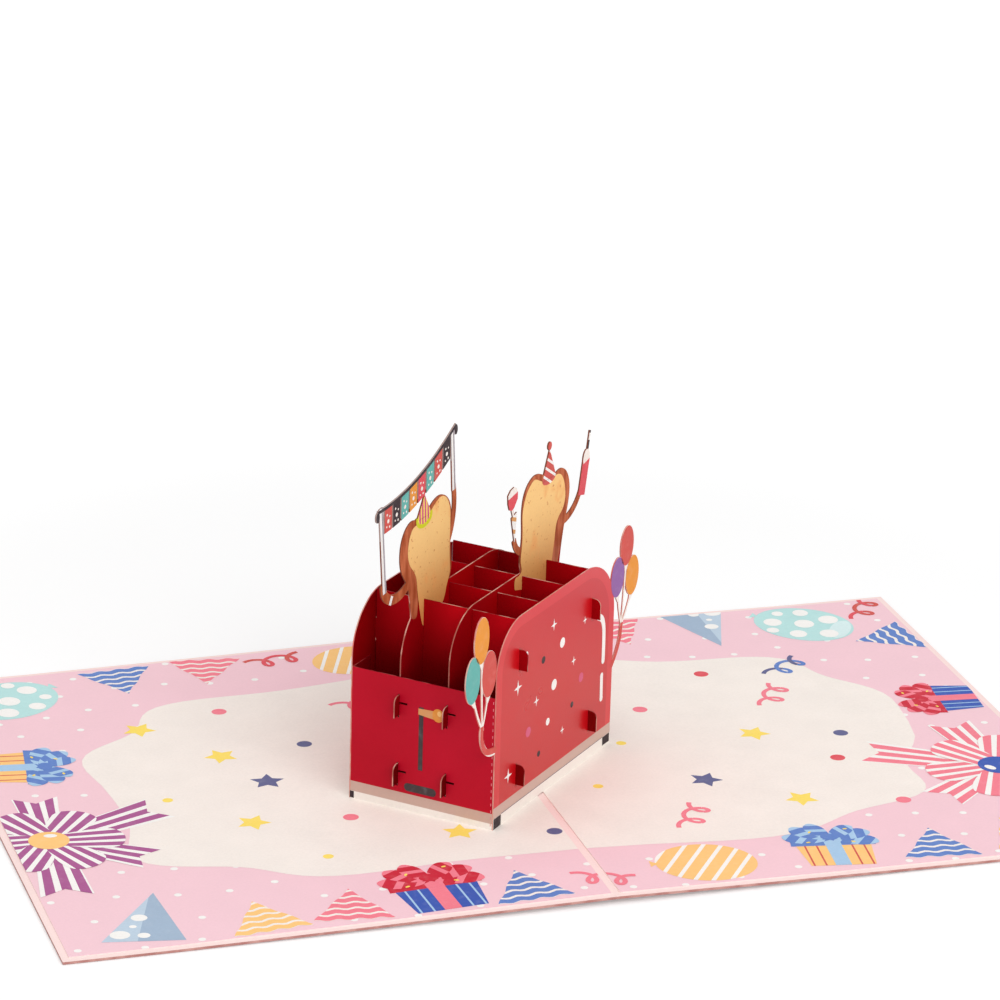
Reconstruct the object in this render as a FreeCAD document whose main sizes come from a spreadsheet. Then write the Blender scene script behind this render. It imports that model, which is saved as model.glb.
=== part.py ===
import FreeCAD, Part
import math
import os
import re
import Sketcher

# A pop up card, open flat, in millimetres. X runs across the fold, Y along it, and Z up.
# The origin is under the middle of the card, on the table.
# Two printed liners are glued into a folded cover. A box of die-cut paper stands on them, turned
# across the fold, and inside it six slats hold one another with half laps. Each slat carries ears
# that go out through slits in the walls. The two long slats carry what stands above the box.

SIZES = [
    ("half_width", 150.0, "cover, fold to outer edge"),
    ("card_length", 190.0, "cover, along the fold"),
    ("cover_thick", 0.7, "cover board"),
    ("liner_thick", 0.3, "printed liner"),
    ("liner_margin", 2.0, "cover that shows round a liner"),
    ("spine_gap", 2.4, "cover that shows between the liners"),
    ("flat_strip", 30.0, "outer strip of each half that lies on the table"),
    ("bend_place", 60.0, "fold to the place where a half rises more steeply"),
    ("bend_rise", 0.6, "height of the underside there"),
    ("fold_rise", 1.45, "height of the underside at the fold"),
    ("paper", 0.35, "thickness of the box's paper"),
    ("box_x", -20.0, "front corner of the box, across the fold"),
    ("box_y", -46.8, "front corner of the box, along the fold"),
    ("box_turn", 45.0, "turn of the box from the fold, degrees"),
    ("box_length", 71.2, "front of the box"),
    ("box_depth", 45.0, "side of the box"),
    ("panel_height", 58.4, "front panel and long slats"),
    ("back_height", 57.5, "back panel"),
    ("front_left_round", 14.2, "round top left corner of the front panel and the slat behind it"),
    ("front_right_round", 18.0, "their round top right corner"),
    ("back_left_round", 16.5, "round top left corner of the back panel and the slat before it"),
    ("back_right_round", 20.0, "their round top right corner"),
    ("wall_height", 38.6, "side walls"),
    ("glue_flap", 9.6, "side wall's flaps behind the panels"),
    ("foot_flap", 8.0, "flaps glued to the liners"),
    ("foot_inset", 10.0, "end of a foot flap from the box's corner"),
    ("fold_clear", 2.0, "foot flap from the fold"),
    ("sink", 3.0, "length that walls are drawn below the fold before they are trimmed"),
    ("cross_height", 57.2, "cross slats"),
    ("first_cross", 13.0, "first cross slat from the box's left side"),
    ("cross_pitch", 14.7, "cross slat to cross slat"),
    ("slat_lift", 1.2, "under edge of a slat above the fold"),
    ("slot_clear", 0.08, "play beside a slat in a slot or slit"),
    ("end_clear", 0.2, "end of a slat from the wall"),
    ("lap_height", 29.0, "height where the half laps meet"),
    ("lap_clear", 0.2, "play under a half lap"),
    ("ear_height", 6.0, "ears on the slats"),
    ("ear_reach", 2.6, "ear beyond the wall"),
    ("ear_round", 1.8, "round upper corner of an ear"),
    ("side_ear_low", 7.0, "lower ears of the long slats"),
    ("side_ear_high", 27.3, "upper ears of the long slats"),
    ("panel_ear_low", 8.6, "lower ears of the outer cross slats"),
    ("panel_ear_high", 42.6, "upper ears of the outer cross slats"),
    ("slit_above", 0.3, "slit beyond an ear, above"),
    ("slit_below", 0.7, "slit beyond an ear, below"),
    ("relief_length", 2.4, "short cut that opens a side wall's slit"),
    ("relief_width", 0.6, "width of that cut"),
    ("slice_width", 29.6, "toast slices"),
    ("slice_height", 26.6, "toast slices above the long slats"),
    ("left_slice_out", 1.2, "left slice beyond the box's left side"),
    ("right_slice_in", 1.0, "right slice within the box's right side"),
    ("hat_width", 8.6, "party hats"),
    ("left_hat", 6.8, "left slice's hat above its brim"),
    ("right_hat", 9.0, "right slice's hat above its brim"),
    ("pompom", 2.3, "ball on the right slice's hat"),
    ("balloon_width", 8.4, "balloons"),
    ("left_balloon", 13.4, "height of the left bunch's balloons"),
    ("right_balloon", 12.0, "height of the right bunch's balloons"),
    ("string_width", 0.8, "balloon strings"),
    ("stem_width", 1.8, "curved stems that hold the balloons"),
    ("flag_width", 4.0, "flags of the bunting"),
    ("flag_drop", 7.2, "flags of the bunting"),
    ("flag_pitch", 4.65, "flag to flag"),
    ("cord_width", 1.1, "cord of the bunting"),
    ("cord_sag", 3.2, "sag of the cord between its ends"),
    ("pole_width", 2.1, "poles of the bunting"),
    ("arm_width", 2.2, "ribbons that carry the poles, the candle and the lollipop"),
]
NAMES = {name for name, number, note in SIZES}

# Places along the long slats and the front panel, from the box's left end, and heights above the
# fold, in millimetres.
CORD_LEFT = (-14.1, 90.8)
CORD_RIGHT = (29.3, 102.9)
FIRST_FLAG = -10.4
FLAG_COUNT = 8
LEFT_POLE = ((-12.5, 91.6), (-9.6, 66.2))
RIGHT_POLE = ((27.3, 101.6), (28.9, 84.0))
LEFT_ARM = [(4.4, 65.0), (-0.5, 62.9), (-6.4, 63.4), (-9.4, 65.6), (-10.4, 69.0)]
RIGHT_ARM = [(26.3, 69.6), (28.7, 74.6), (29.5, 80.0), (28.8, 85.4)]
KNOT_DROP = 1.4
KNOT_WIDTH = 1.9
KNOT_HEIGHT = 3.0

# The candle and the lollipop stand beside the right slice, from the box's right end.
CANDLE_ARM = [(-5.5, 65.8), (-1.2, 66.2), (2.8, 68.2), (5.9, 71.6)]
CANDLE_FOOT = (6.6, 70.0)
CANDLE_TOP = (9.1, 80.2)
CANDLE_WIDTH = 4.2
WICK_TOP = (10.9, 88.2)
WICK_WIDTH = 0.9
LOLLIPOP_ARM = [(-29.5, 64.6), (-32.6, 66.4), (-34.4, 69.6)]
CONE = [(-34.2, 68.6), (-36.4, 76.6), (-33.2, 77.6)]
LOLLIPOP_STICK = ((-35.0, 76.4), (-36.6, 80.6))
LOLLIPOP = [
    (-35.2, 85.5), (-33.7, 84.8), (-33.0, 83.4), (-33.0, 81.5), (-35.1, 79.3), (-36.3, 78.9),
    (-37.7, 79.4), (-38.5, 81.2), (-38.8, 83.9), (-37.2, 85.1),
]

# Balloon middles, where their strings meet, and the stem that joins them to the front panel. The
# left bunch is measured from the panel's left edge and the right bunch from its right edge.
LEFT_BALLOONS = [(-9.4, 58.8), (-14.0, 48.8), (-4.6, 47.6)]
LEFT_KNOT = (-7.9, 32.6)
LEFT_STEM = [(-8.0, 33.4), (-7.9, 29.0), (-5.2, 25.0), (0.8, 23.6)]
RIGHT_BALLOONS = [(7.0, 57.6), (1.6, 49.7), (11.0, 47.4)]
RIGHT_KNOT = (5.0, 34.2)
RIGHT_STEM = [(5.2, 34.8), (4.4, 30.4), (2.2, 26.4), (-0.8, 23.2)]

# Outline of a toast slice as shares of its width and height, from its wide side across the two
# lobes of its top and down again. The ends lie inside the slat that it is cut from. The slices
# differ in the foot of their wide side.
LEFT_TOAST_FOOT = [(0.24, -0.24), (0.20, 0.06), (0.13, 0.25)]
RIGHT_TOAST_FOOT = [(0.175, -0.24), (0.13, 0.06), (0.09, 0.225)]
TOAST = [
    (0.035, 0.40), (0.0, 0.60), (0.055, 0.795),
    (0.21, 0.90), (0.395, 0.865), (0.55, 0.94), (0.75, 1.0), (0.925, 0.89), (0.985, 0.66),
    (0.975, 0.36), (1.0, 0.115), (0.95, -0.06), (0.92, -0.24),
]
HAT_PLACE = 0.445
HAT_BRIM = 0.86

document = FreeCAD.newDocument("pop_up_card")
sheet = document.addObject("Spreadsheet::Sheet", "Sizes")


def fill_sheet():
    """Write each size with its name and what it measures."""
    for row, (name, number, note) in enumerate(SIZES, start=1):
        sheet.set(f"A{row}", note)
        sheet.set(f"B{row}", str(number))
        sheet.setAlias(f"B{row}", name)
    document.recompute()


def size(name):
    """Return one size from the sheet."""
    return float(sheet.get(name))


def linked(formula):
    """Return a formula in size names as an expression on the sheet's cells."""
    return re.sub(r"[a-z_]+", lambda word: "Sizes." + word.group() if word.group() in NAMES else word.group(),
                  formula)


def bind(thing, path, formula):
    thing.setExpression(path, linked(formula))


# Height of the fold's top, where the box's own heights start.
FLOOR = "fold_rise + cover_thick + liner_thick"


def place(thing, along="0", inward="0", turn="0"):
    """Place a piece of the box: along its front, inward from it, and turned from it in degrees."""
    bind(thing, "Placement.Base.x", f"box_x + ({along}) * cos(box_turn) - ({inward}) * sin(box_turn)")
    bind(thing, "Placement.Base.y", f"box_y + ({along}) * sin(box_turn) + ({inward}) * cos(box_turn)")
    bind(thing, "Placement.Base.z", FLOOR)
    bind(thing, "Placement.Rotation.Angle", f"box_turn + {turn}")


def add_body(label):
    return document.addObject("PartDesign::Body", label)


def add_sketch(body, name, role):
    """Start a sketch on one of the body's own origin planes."""
    sketch = body.newObject("Sketcher::SketchObject", name)
    plane = [feature for feature in body.Origin.OriginFeatures if feature.Role == role][0]
    sketch.AttachmentSupport = [(plane, "")]
    sketch.MapMode = "FlatFace"
    return sketch


def add_polygon(sketch, corners):
    """Draw a closed outline and bind both coordinates of each corner to the sheet."""
    first = sketch.GeometryCount
    count = len(corners)
    ring = [FreeCAD.Vector(math.cos(2 * math.pi * i / count), math.sin(2 * math.pi * i / count), 0)
            for i in range(count)]
    for i in range(count):
        sketch.addGeometry(Part.LineSegment(ring[i], ring[(i + 1) % count]))
    for i in range(count):
        sketch.addConstraint(Sketcher.Constraint("Coincident", first + i, 2, first + (i + 1) % count, 1))
    for i, (across, up) in enumerate(corners):
        for kind, formula, start in (("DistanceX", across, ring[i].x), ("DistanceY", up, ring[i].y)):
            index = sketch.addConstraint(Sketcher.Constraint(kind, -1, 1, first + i, 1, start))
            bind(sketch, f"Constraints[{index}]", formula)


def rectangle(left, bottom, right, top):
    return [(left, bottom), (right, bottom), (right, top), (left, top)]


def pad(body, name, role, outlines, length):
    """Pad closed outlines to both sides of their plane."""
    sketch = add_sketch(body, name + "_outline", role)
    for outline in outlines:
        add_polygon(sketch, outline)
    document.recompute()
    feature = body.newObject("PartDesign::Pad", name)
    feature.Profile = sketch
    feature.Midplane = True
    bind(feature, "Length", length)
    document.recompute()
    return feature


def cut(body, name, outlines):
    """Cut closed outlines through a standing sheet."""
    before = body.Shape.Volume
    sketch = add_sketch(body, name + "_outline", "XZ_Plane")
    for outline in outlines:
        add_polygon(sketch, outline)
    document.recompute()
    feature = body.newObject("PartDesign::Pocket", name)
    feature.Profile = sketch
    feature.Type = "ThroughAll"
    feature.Midplane = True
    document.recompute()
    if body.Shape.Volume >= before:
        raise RuntimeError(f"{body.Label}: {name} cuts nothing")


def round_corners(body, name, radius, chosen):
    """Round the corners of a flat sheet for which chosen(x, z) holds."""
    base = body.Tip
    edges = []
    for number, edge in enumerate(base.Shape.Edges, start=1):
        box = edge.BoundBox
        if box.XLength + box.ZLength < 1e-6 and chosen(box.XMin, box.ZMin):
            edges.append(f"Edge{number}")
    feature = body.newObject("PartDesign::Fillet", name)
    feature.Base = (base, edges)
    bind(feature, "Radius", radius)
    document.recompute()


def near(number, other):
    return abs(number - other) < 0.01


# The card


def card_profile(lift):
    """Return the left half of the card's section, outer edge to fold, raised by a formula."""
    return [
        ("-half_width", f"{lift}"),
        ("-(half_width - flat_strip)", f"{lift}"),
        ("-bend_place", f"bend_rise + {lift}"),
        ("0", f"fold_rise + {lift}"),
    ]


def mirrored(profile):
    return [(f"-({across})", up) for across, up in reversed(profile[:-1])]


def layer_outline(low, high):
    """Return the section of a layer that covers both halves of the card."""
    lower = card_profile(low) + mirrored(card_profile(low))
    upper = card_profile(high) + mirrored(card_profile(high))
    return lower + upper[::-1]


def make_cover():
    body = add_body("cover")
    pad(body, "board", "XZ_Plane", [layer_outline("0", "cover_thick")], "card_length")
    return body


def make_liner(label, side):
    """Make one printed liner. It follows the cover and stops short of its edges and the fold."""
    slope = "(fold_rise - bend_rise) / bend_place"

    def line(lift):
        return [
            (f"{side}(half_width - liner_margin)", lift),
            (f"{side}(half_width - flat_strip)", lift),
            (f"{side}bend_place", f"bend_rise + {lift}"),
            (f"{side}spine_gap / 2", f"fold_rise - {slope} * spine_gap / 2 + {lift}"),
        ]

    outline = line("cover_thick") + line("cover_thick + liner_thick")[::-1]
    body = add_body(label)
    pad(body, "sheet", "XZ_Plane", [outline], "card_length - 2 * liner_margin")
    return body


def make_bed():
    """Make the space that the card fills, to trim the box's walls, and the layer on top of it."""
    bed = add_body("bed")
    pad(bed, "space", "XZ_Plane", [layer_outline("-sink", "cover_thick + liner_thick")], "card_length")
    layer = add_body("bed_layer")
    low = "cover_thick + liner_thick"
    pad(layer, "space", "XZ_Plane", [layer_outline(low, low + " + paper")], "card_length")
    return bed, layer


# The box

CROSS_COUNT = 4
LONG_COUNT = 2
OUTER_CROSS = (1, CROSS_COUNT)
FOLD_PLACE = "(-box_x / cos(box_turn))"


def cross_place(number):
    return f"(first_cross + cross_pitch * {number - 1})"


def long_place(number):
    return f"box_depth * {number} / {LONG_COUNT + 1}"


def slit(middle, ear_low):
    """Return the outline of a slit that one ear goes through."""
    half = "(paper / 2 + slot_clear)"
    return rectangle(f"{middle} - {half}", f"{ear_low} - slit_below",
                     f"{middle} + {half}", f"{ear_low} + ear_height + slit_above")


def relief(middle, ear_low):
    """Return the short level cut that starts at a slit and runs to the front."""
    side = f"{middle} - paper / 2 - slot_clear"
    height = f"{ear_low} + ear_height * 0.62"
    return rectangle(f"{side} - relief_length", f"{height} - relief_width / 2",
                     f"{side} + slot_clear / 2", f"{height} + relief_width / 2")


def add_foot(label, bed_layer, along, inward, length, width):
    """Make a foot flap: a rectangle of paper that lies on the liners."""
    flap = document.addObject("Part::Box", label + "_area")
    bind(flap, "Length", length)
    bind(flap, "Width", width)
    bind(flap, "Height", "2 * sink")
    place(flap, along, inward)
    bind(flap, "Placement.Base.z", FLOOR + " - sink")
    foot = document.addObject("Part::Common", label)
    foot.Base = flap
    foot.Tool = bed_layer
    return foot


def trim(label, body, bed):
    trimmed = document.addObject("Part::Cut", label)
    trimmed.Base = body
    trimmed.Tool = bed
    return trimmed


def join(label, shapes):
    joined = document.addObject("Part::MultiFuse", label)
    joined.Shapes = shapes
    joined.Refine = True
    return joined


def round_top(body, top, inset, side):
    """Round both top corners of a sheet whose ends stand inset from the box's. Side is front or back."""
    for end, place in (("left", inset), ("right", size("box_length") - inset)):
        round_corners(body, "round_" + end, f"{side}_{end}_round",
                      lambda x, z: near(x, place) and near(z, size(top)))


def make_panel_board(label, side, top, inward):
    """Make the plain front or back panel, with round top corners and slits for the ears."""
    body = add_body(label)
    pad(body, "sheet", "XZ_Plane", [rectangle("0", "-sink", "box_length", top)], "paper")
    round_top(body, top, 0, side)
    cut(body, "slits", [slit(cross_place(number), low) for number in OUTER_CROSS
                        for low in ("panel_ear_low", "panel_ear_high")])
    place(body, "0", inward)
    return body


def make_front_panel(bed, bed_layer):
    board = make_panel_board("front_board", "front", "panel_height", "paper / 2")
    left_foot = add_foot("front_left_foot", bed_layer, "foot_inset", "0",
                         f"{FOLD_PLACE} - fold_clear - foot_inset", "paper + foot_flap")
    start = f"{FOLD_PLACE} + paper + foot_flap + fold_clear"
    right_foot = add_foot("front_right_foot", bed_layer, start, "0",
                          f"box_length - foot_inset - ({start})", "paper + foot_flap")
    left = add_cutout("left_bunch", bunch(0.0, LEFT_BALLOONS, size("left_balloon"), LEFT_KNOT, LEFT_STEM),
                      board)
    end = size("box_length")
    right = add_cutout("right_bunch",
                       bunch(end, RIGHT_BALLOONS, size("right_balloon"), RIGHT_KNOT, RIGHT_STEM), board)
    return join("front_panel", [trim("front_trimmed", board, bed), left_foot, right_foot, left, right])


def make_back_panel(bed, bed_layer):
    board = make_panel_board("back_board", "back", "back_height", "box_depth - paper / 2")
    foot = add_foot("back_foot", bed_layer, "foot_inset", "box_depth - paper - foot_flap",
                    "box_length - 2 * foot_inset", "paper + foot_flap")
    return join("back_panel", [trim("back_trimmed", board, bed), foot])


def make_side_wall(label, along, inner, foot, bed):
    """Make a side wall, folded at both ends into flaps that are glued behind the panels."""
    body = add_body(label + "_board")
    front, back = "paper", "box_depth - paper"
    reach = f"{inner}(paper + glue_flap)"
    channel = [
        (front, "0"), (back, "0"), (back, reach), (f"{back} - paper", reach),
        (f"{back} - paper", f"{inner}paper"), (f"{front} + paper", f"{inner}paper"),
        (f"{front} + paper", reach), (front, reach),
    ]
    folded = pad(body, "folded_sheet", "XY_Plane", [channel], "sink + wall_height")
    folded.Midplane = False
    bind(folded.Profile[0], "AttachmentOffset.Base.z", "-sink")
    document.recompute()
    middles = [long_place(number) for number in range(1, LONG_COUNT + 1)]
    lows = ("side_ear_low", "side_ear_high")
    cut(body, "slits", [slit(middle, low) for middle in middles for low in lows])
    cut(body, "reliefs", [relief(middle, low) for middle in middles for low in lows])
    place(body, along, "0", "90")
    return join(label, [trim(label + "_trimmed", body, bed), foot])


def make_left_wall(bed, bed_layer):
    foot = add_foot("left_foot", bed_layer, "0", "foot_inset", "paper + foot_flap",
                    "box_depth - 2 * foot_inset")
    return make_side_wall("left_wall", "0", "-", foot, bed)


def make_right_wall(bed, bed_layer):
    end = f"box_length - paper - foot_flap - {FOLD_PLACE} - fold_clear"
    foot = add_foot("right_foot", bed_layer, "box_length - paper - foot_flap", "foot_inset",
                    "paper + foot_flap", f"{end} - foot_inset")
    return make_side_wall("right_wall", "box_length", "", foot, bed)


# The slats


def ears(span, lows):
    """Return the outlines of the ears at both ends of a slat."""
    inside = "(paper + end_clear + ear_height / 2)"
    outlines = []
    for low in lows:
        top = f"{low} + ear_height"
        outlines.append(rectangle("-ear_reach", low, inside, top))
        outlines.append(rectangle(f"{span} - {inside}", low, f"{span} + ear_reach", top))
    return outlines


def round_ears(body, span, lows):
    """Round the upper outer corner of each ear."""
    tops = [size(low) + size("ear_height") for low in lows]
    ends = (-size("ear_reach"), size(span) + size("ear_reach"))
    round_corners(body, "round_ears", "ear_round",
                  lambda x, z: any(near(x, end) for end in ends) and any(near(z, top) for top in tops))


def lap(middle, low, high):
    """Return the outline of one half lap slot."""
    half = "(paper / 2 + slot_clear)"
    return rectangle(f"{middle} - {half}", low, f"{middle} + {half}", high)


def make_long_board(label, number, side):
    """Make a long slat: round top corners, ears at the side walls, half laps from below."""
    body = add_body(label)
    near_end = "paper + end_clear"
    far_end = "box_length - paper - end_clear"
    pad(body, "sheet", "XZ_Plane", [rectangle(near_end, "slat_lift", far_end, "panel_height")], "paper")
    round_top(body, "panel_height", size("paper") + size("end_clear"), side)
    lows = ("side_ear_low", "side_ear_high")
    pad(body, "ears", "XZ_Plane", ears("box_length", lows), "paper")
    round_ears(body, "box_length", lows)
    cut(body, "half_laps", [lap(cross_place(cross), "0", "lap_height") for cross in range(1, CROSS_COUNT + 1)])
    place(body, "0", long_place(number))
    return body


def make_cross_slat(number):
    """Make a cross slat with half laps from above. The outer two also have ears."""
    body = add_body(f"cross_slat_{number}")
    near_end = "paper + end_clear"
    far_end = "box_depth - paper - end_clear"
    pad(body, "sheet", "XZ_Plane", [rectangle(near_end, "slat_lift", far_end, "cross_height")], "paper")
    if number in OUTER_CROSS:
        lows = ("panel_ear_low", "panel_ear_high")
        pad(body, "ears", "XZ_Plane", ears("box_depth", lows), "paper")
        round_ears(body, "box_depth", lows)
    cut(body, "half_laps", [lap(long_place(long), "lap_height - lap_clear", "cross_height + lap_clear")
                            for long in range(1, LONG_COUNT + 1)])
    place(body, cross_place(number), "0", "90")
    return body


# Die-cut shapes that stand beyond the plain sheets


def point(x, z):
    return FreeCAD.Vector(x, 0, z)


def sheet_of(wire):
    """Return the paper inside a closed outline, its middle on the sheet's plane."""
    paper = size("paper")
    face = Part.Face(wire)
    face.translate(FreeCAD.Vector(0, -paper / 2, 0))
    return face.extrude(FreeCAD.Vector(0, paper, 0))


def straight_cut(corners):
    points = [point(x, z) for x, z in corners]
    return sheet_of(Part.makePolygon(points + points[:1]))


def oval(middle, width, height):
    """Return an upright oval."""
    x, z = middle
    curve = Part.Ellipse(point(x, z + height / 2), point(x + width / 2, z), point(x, z))
    return sheet_of(Part.Wire(curve.toShape()))


def smooth(points):
    curve = Part.BSplineCurve()
    curve.interpolate(points)
    return curve


def ribbon(route, width):
    """Return a strip of even width along a smooth route."""
    points = [point(x, z) for x, z in route]
    middle = smooth(points)
    left, right = [], []
    for spot in points:
        along = middle.tangent(middle.parameter(spot))[0]
        aside = FreeCAD.Vector(-along.z, 0, along.x) * (width / 2)
        left.append(spot + aside)
        right.append(spot - aside)
    edges = [
        smooth(left).toShape(),
        Part.makeLine(left[-1], right[-1]),
        smooth(right).toShape(),
        Part.makeLine(right[0], left[0]),
    ]
    return sheet_of(Part.Wire(Part.sortEdges(edges)[0]))


def strip(ends, width):
    """Return a straight strip between two points."""
    (x0, z0), (x1, z1) = ends
    length = math.hypot(x1 - x0, z1 - z0)
    dx, dz = (z1 - z0) / length * width / 2, -(x1 - x0) / length * width / 2
    return straight_cut([(x0 - dx, z0 - dz), (x1 - dx, z1 - dz), (x1 + dx, z1 + dz), (x0 + dx, z0 + dz)])


def moved(points, shift):
    return [(x + shift, z) for x, z in points]


def add_cutout(label, shapes, board):
    """Add die-cut shapes that belong to a board's sheet, in the board's place."""
    thing = document.addObject("Part::Feature", label)
    thing.Shape = shapes[0].multiFuse(shapes[1:]).removeSplitter()
    document.recompute()
    thing.Placement = board.Placement
    return thing


def balloon(middle, height, knot):
    """Return a balloon, its neck, and a string that bows a little on its way to the knot."""
    x, z = middle
    width = size("balloon_width")
    neck = z - height / 2
    lean = (knot[0] - x) * 0.25
    neck_cut = straight_cut([(x - width * 0.16, neck + 0.8), (x + lean - 0.5, neck - 1.6),
                             (x + lean + 0.5, neck - 1.6), (x + width * 0.16, neck + 0.8)])
    bow = ((x + lean) * 0.62 + knot[0] * 0.38, (neck - 1.0) * 0.55 + knot[1] * 0.45)
    string = ribbon([(x + lean, neck - 1.0), bow, knot], size("string_width"))
    return [oval(middle, width, height), neck_cut, string]


def bunch(edge, middles, height, knot, stem):
    """Return a bunch of balloons on a curved stem, measured from a panel's edge."""
    knot = (knot[0] + edge, knot[1])
    shapes = [ribbon(moved(stem, edge), size("stem_width"))]
    shapes.append(oval(knot, 1.8, 2.4))
    for middle in moved(middles, edge):
        shapes += balloon(middle, height, knot)
    return shapes


def toast_point(share, edge, direction):
    """Return the place of a point that is given as shares of a slice's width and height."""
    across, up = share
    return (edge + direction * across * size("slice_width"), size("panel_height") + up * size("slice_height"))


def toast(foot, edge, direction, hat_height):
    """Return a slice of toast with its party hat. Its wide side is at edge."""
    points = [point(*toast_point(share, edge, direction)) for share in foot + TOAST]
    closing = Part.makeLine(points[-1], points[0])
    slice_cut = sheet_of(Part.Wire([smooth(points).toShape(), closing]))
    x, z = toast_point((HAT_PLACE, HAT_BRIM), edge, direction)
    half = size("hat_width") / 2
    hat = straight_cut([(x - half, z), (x + half, z), (x, z + hat_height)])
    return [slice_cut, hat]


def cord_height(x):
    """Return the height of the bunting's cord, which sags between its ends."""
    (x0, z0), (x1, z1) = CORD_LEFT, CORD_RIGHT
    share = (x - x0) / (x1 - x0)
    return z0 + (z1 - z0) * share - 4 * size("cord_sag") * share * (1 - share)


def bunting():
    """Return the poles, the cord and the flags that hang from it."""
    (x0, z0), (x1, z1) = CORD_LEFT, CORD_RIGHT
    stations = [x0 + (x1 - x0) * step / 4 for step in range(5)]
    shapes = [ribbon([(x, cord_height(x)) for x in stations], size("cord_width"))]
    shapes += [strip(LEFT_POLE, size("pole_width")), strip(RIGHT_POLE, size("pole_width"))]
    shapes += [oval((x, z - KNOT_DROP), KNOT_WIDTH, KNOT_HEIGHT) for x, z in (CORD_LEFT, CORD_RIGHT)]
    for number in range(FLAG_COUNT):
        left = FIRST_FLAG + number * size("flag_pitch")
        right = left + size("flag_width")
        drop = size("flag_drop")
        shapes.append(straight_cut([(left, cord_height(left)), (right, cord_height(right)),
                                    (right, cord_height(right) - drop), (left, cord_height(left) - drop)]))
    return shapes


def candle(end):
    """Return the candle with its wick and the ribbon that carries it."""
    foot, top, wick = moved([CANDLE_FOOT, CANDLE_TOP, WICK_TOP], end)
    return [
        ribbon(moved(CANDLE_ARM, end), size("arm_width")),
        strip((foot, top), CANDLE_WIDTH),
        oval(top, CANDLE_WIDTH, CANDLE_WIDTH * 1.4),
        strip((top, wick), WICK_WIDTH),
    ]


def lollipop(end):
    """Return the lollipop, the cone that it stands in and the ribbon that carries them."""
    return [
        ribbon(moved(LOLLIPOP_ARM, end), size("arm_width")),
        straight_cut(moved(CONE, end)),
        strip(moved(LOLLIPOP_STICK, end), WICK_WIDTH),
        straight_cut(moved(LOLLIPOP, end)),
    ]


def pompom(edge, direction):
    """Return the ball on the tip of a slice's hat."""
    x, z = toast_point((HAT_PLACE, HAT_BRIM), edge, direction)
    ball = size("pompom")
    return oval((x, z + size("right_hat") + ball * 0.35), ball, ball * 1.1)


def make_front_slat():
    """Make the long slat nearer the front, with the right slice, the candle and the lollipop."""
    board = make_long_board("front_slat_board", 1, "front")
    end = size("box_length")
    edge = end - size("right_slice_in")
    shapes = toast(RIGHT_TOAST_FOOT, edge, -1, size("right_hat")) + [pompom(edge, -1)]
    shapes += candle(end) + lollipop(end)
    return join("front_slat", [board, add_cutout("front_slat_top", shapes, board)])


def make_back_slat():
    """Make the long slat nearer the back, with the left slice and the bunting."""
    board = make_long_board("back_slat_board", 2, "back")
    shapes = toast(LEFT_TOAST_FOOT, -size("left_slice_out"), 1, size("left_hat")) + bunting()
    shapes += [ribbon(LEFT_ARM, size("arm_width") * 1.3), ribbon(RIGHT_ARM, size("arm_width"))]
    return join("back_slat", [board, add_cutout("back_slat_top", shapes, board)])


def check_and_export(parts):
    """Stop at a failed feature or an invalid shape, then write each sub-part to its own file."""
    for thing in document.Objects:
        if "Invalid" in thing.State or "Error" in thing.State:
            raise RuntimeError(f"{thing.Label} failed: {thing.State}")
    os.makedirs("parts", exist_ok=True)
    for part in parts:
        shape = part.Shape
        if shape.isNull() or not shape.isValid() or len(shape.Solids) != 1:
            raise RuntimeError(f"{part.Label} is not one valid solid")
        shape.exportStep(f"parts/{part.Label}.step")
        print(f"{part.Label}: {shape.Volume:.1f} mm3, {len(shape.Faces)} faces")


def main():
    fill_sheet()
    bed, bed_layer = make_bed()
    parts = [make_cover(), make_liner("left_liner", "-"), make_liner("right_liner", "")]
    parts += [make_front_panel(bed, bed_layer), make_back_panel(bed, bed_layer)]
    parts += [make_left_wall(bed, bed_layer), make_right_wall(bed, bed_layer)]
    parts += [make_front_slat(), make_back_slat()]
    parts += [make_cross_slat(number) for number in range(1, CROSS_COUNT + 1)]
    document.recompute()
    check_and_export(parts)


main()
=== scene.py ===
import math

import bmesh
import bpy
from mathutils import Matrix, Vector


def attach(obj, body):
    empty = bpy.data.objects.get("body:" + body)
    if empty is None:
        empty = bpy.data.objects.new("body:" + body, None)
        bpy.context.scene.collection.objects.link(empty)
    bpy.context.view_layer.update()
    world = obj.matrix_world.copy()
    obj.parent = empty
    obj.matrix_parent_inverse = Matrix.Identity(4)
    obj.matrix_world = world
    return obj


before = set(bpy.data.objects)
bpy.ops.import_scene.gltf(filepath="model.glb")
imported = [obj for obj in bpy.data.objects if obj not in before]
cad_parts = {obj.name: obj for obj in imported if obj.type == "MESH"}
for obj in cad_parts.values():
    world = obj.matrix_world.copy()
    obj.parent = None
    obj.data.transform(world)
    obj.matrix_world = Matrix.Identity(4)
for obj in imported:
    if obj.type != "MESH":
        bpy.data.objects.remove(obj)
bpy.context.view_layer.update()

# A pop up card, open flat. Shapes are drawn flat and in millimetres, and are laid on their sheet
# in metres. Ink stands a hair above the paper, and one layer of ink a hair above the next.
MM = 0.001
LIFT = 0.02
LAYER = 0.012

# The card: edges of the liners, and heights of their tops at the places where each half bends.
LINER_IN, LINER_OUT, LINER_BACK = 1.2, 148.0, 93.0
BENDS = ((0.0, 2.45), (60.0, 1.6), (120.0, 1.0), (150.0, 1.0))

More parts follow.
